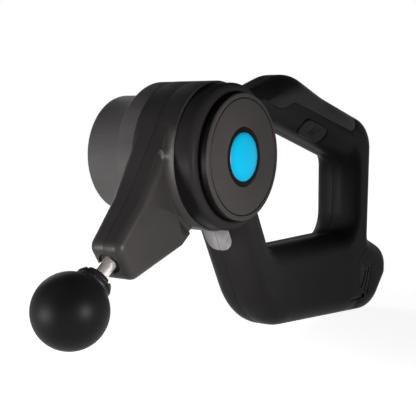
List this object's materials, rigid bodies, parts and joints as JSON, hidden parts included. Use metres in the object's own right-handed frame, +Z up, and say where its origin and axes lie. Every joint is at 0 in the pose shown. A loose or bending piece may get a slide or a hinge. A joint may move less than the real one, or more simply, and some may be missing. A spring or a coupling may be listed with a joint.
{
  "type": "massage gun",
  "caption": "Percussion massage gun: motor in a swinging arm on a closed-loop handle, ball head on a stroke shaft, round release button and sliding battery.",
  "frame": {"origin": "where the arm's swing axis crosses the handle's mid-plane", "axes": "+X back over the handle's loop, +Y along the swing axis towards the motor barrel, +Z up; the arm is at its lowest stop, pointing forward and down"},
  "size_m": [0.3507, 0.0908, 0.1716],
  "materials": {
    "shell_plastic": "fine matt texture",
    "soft_grip": "soft-touch matt",
    "disc_plastic": "satin face",
    "button_plastic": "satin",
    "inner_plastic": "as moulded",
    "bush_plastic": "self-lubricating, as moulded",
    "collar_plastic": "satin",
    "socket_black": "as moulded",
    "frosted_lens": "frosted",
    "badge_blue": "domed clear resin over blue",
    "gloss_black": "gloss",
    "barrel_satin": "satin",
    "ball_rubber": "matt",
    "seal_rubber": "matt",
    "polished_shaft": "polished",
    "bright_steel": "ground",
    "spring_steel": "drawn wire",
    "dark_steel": "blackened",
    "motor_steel": "plain",
    "cast_aluminium": "machined",
    "contact_brass": "plated",
    "winding_copper": "enamelled copper wire",
    "circuit_board": "solder mask",
    "cell_foil": "shrink film"
  },
  "bodies": {
    "handle": {"handle_near_shell": "shell_plastic", "handle_far_shell": "shell_plastic", "grip_cover": "soft_grip", "indicator_lens": "frosted_lens", "indicator_board": "circuit_board", "case_screws": "dark_steel", "power_switch": "circuit_board", "control_board": "circuit_board", "battery_bay": "inner_plastic", "battery_bay_frame": "inner_plastic", "battery_terminal_block": "contact_brass", "pivot_bush": "bush_plastic"},
    "power_button": {"power_button": "button_plastic"},
    "release_button": {"release_button": "disc_plastic", "badge": "badge_blue", "badge_ring": "gloss_black", "lock_ring": "bright_steel", "return_spring": "spring_steel"},
    "arm": {"arm_near_shell": "shell_plastic", "arm_far_shell": "shell_plastic", "arm_screws": "dark_steel", "shaft_bush": "bush_plastic", "nose_seal": "seal_rubber", "pivot_spindle": "bright_steel", "spindle_retainer": "dark_steel", "motor_plate": "cast_aluminium", "trim_ring": "barrel_satin", "motor_barrel": "barrel_satin", "motor_can": "motor_steel", "motor_end_bell": "cast_aluminium", "motor_stator": "motor_steel", "motor_windings": "winding_copper", "front_bearing": "bright_steel", "rear_bearing": "bright_steel"},
    "rotor": {"motor_rotor": "motor_steel", "motor_shaft": "bright_steel", "crank": "motor_steel", "crank_pin": "bright_steel", "crank_pin_roller": "bright_steel"},
    "stroke_shaft": {"yoke": "cast_aluminium", "drive_shaft": "polished_shaft"},
    "massage_head": {"head_collar": "collar_plastic", "head_insert": "collar_plastic", "rubber_ball": "ball_rubber"},
    "battery": {"battery_case": "inner_plastic", "battery_cells": "cell_foil", "battery_end_cap": "shell_plastic", "charge_socket": "socket_black"},
    "battery_latch": {"battery_latch": "button_plastic"}
  },
  "joints": [
    {"name": "arm_swing", "type": "hinge", "parent": "handle", "child": "arm", "pos_m": [0, 0, 0], "axis": [0, 1, 0], "range_deg": [0, 90]},
    {"name": "release_press", "type": "slide", "parent": "handle", "child": "release_button", "axis": [0, 1, 0], "range_m": [0, 0.0035], "stiffness_N_per_m": 2500, "deforming": ["return_spring"]},
    {"name": "power_press", "type": "slide", "parent": "handle", "child": "power_button", "axis": [0.1662, 0.788, 0.5928], "range_m": [0, 0.0012], "stiffness_N_per_m": 1500},
    {"name": "motor_spin", "type": "hinge", "parent": "arm", "child": "rotor", "pos_m": [0, 0.0071, 0], "axis": [0, 1, 0], "continuous": true},
    {"name": "stroke", "type": "slide", "parent": "arm", "child": "stroke_shaft", "axis": [-0.829, 0, -0.5592], "range_m": [-0.004, 0.012]},
    {"name": "head_pull", "type": "slide", "parent": "stroke_shaft", "child": "massage_head", "axis": [-0.829, 0, -0.5592], "range_m": [0, 0.03]},
    {"name": "battery_slide", "type": "slide", "parent": "handle", "child": "battery", "axis": [1, 0, 0], "range_m": [0, 0.12]},
    {"name": "latch_press", "type": "slide", "parent": "battery", "child": "battery_latch", "axis": [0, 1, 0], "range_m": [0, 0.0015], "stiffness_N_per_m": 1200}
  ]
}
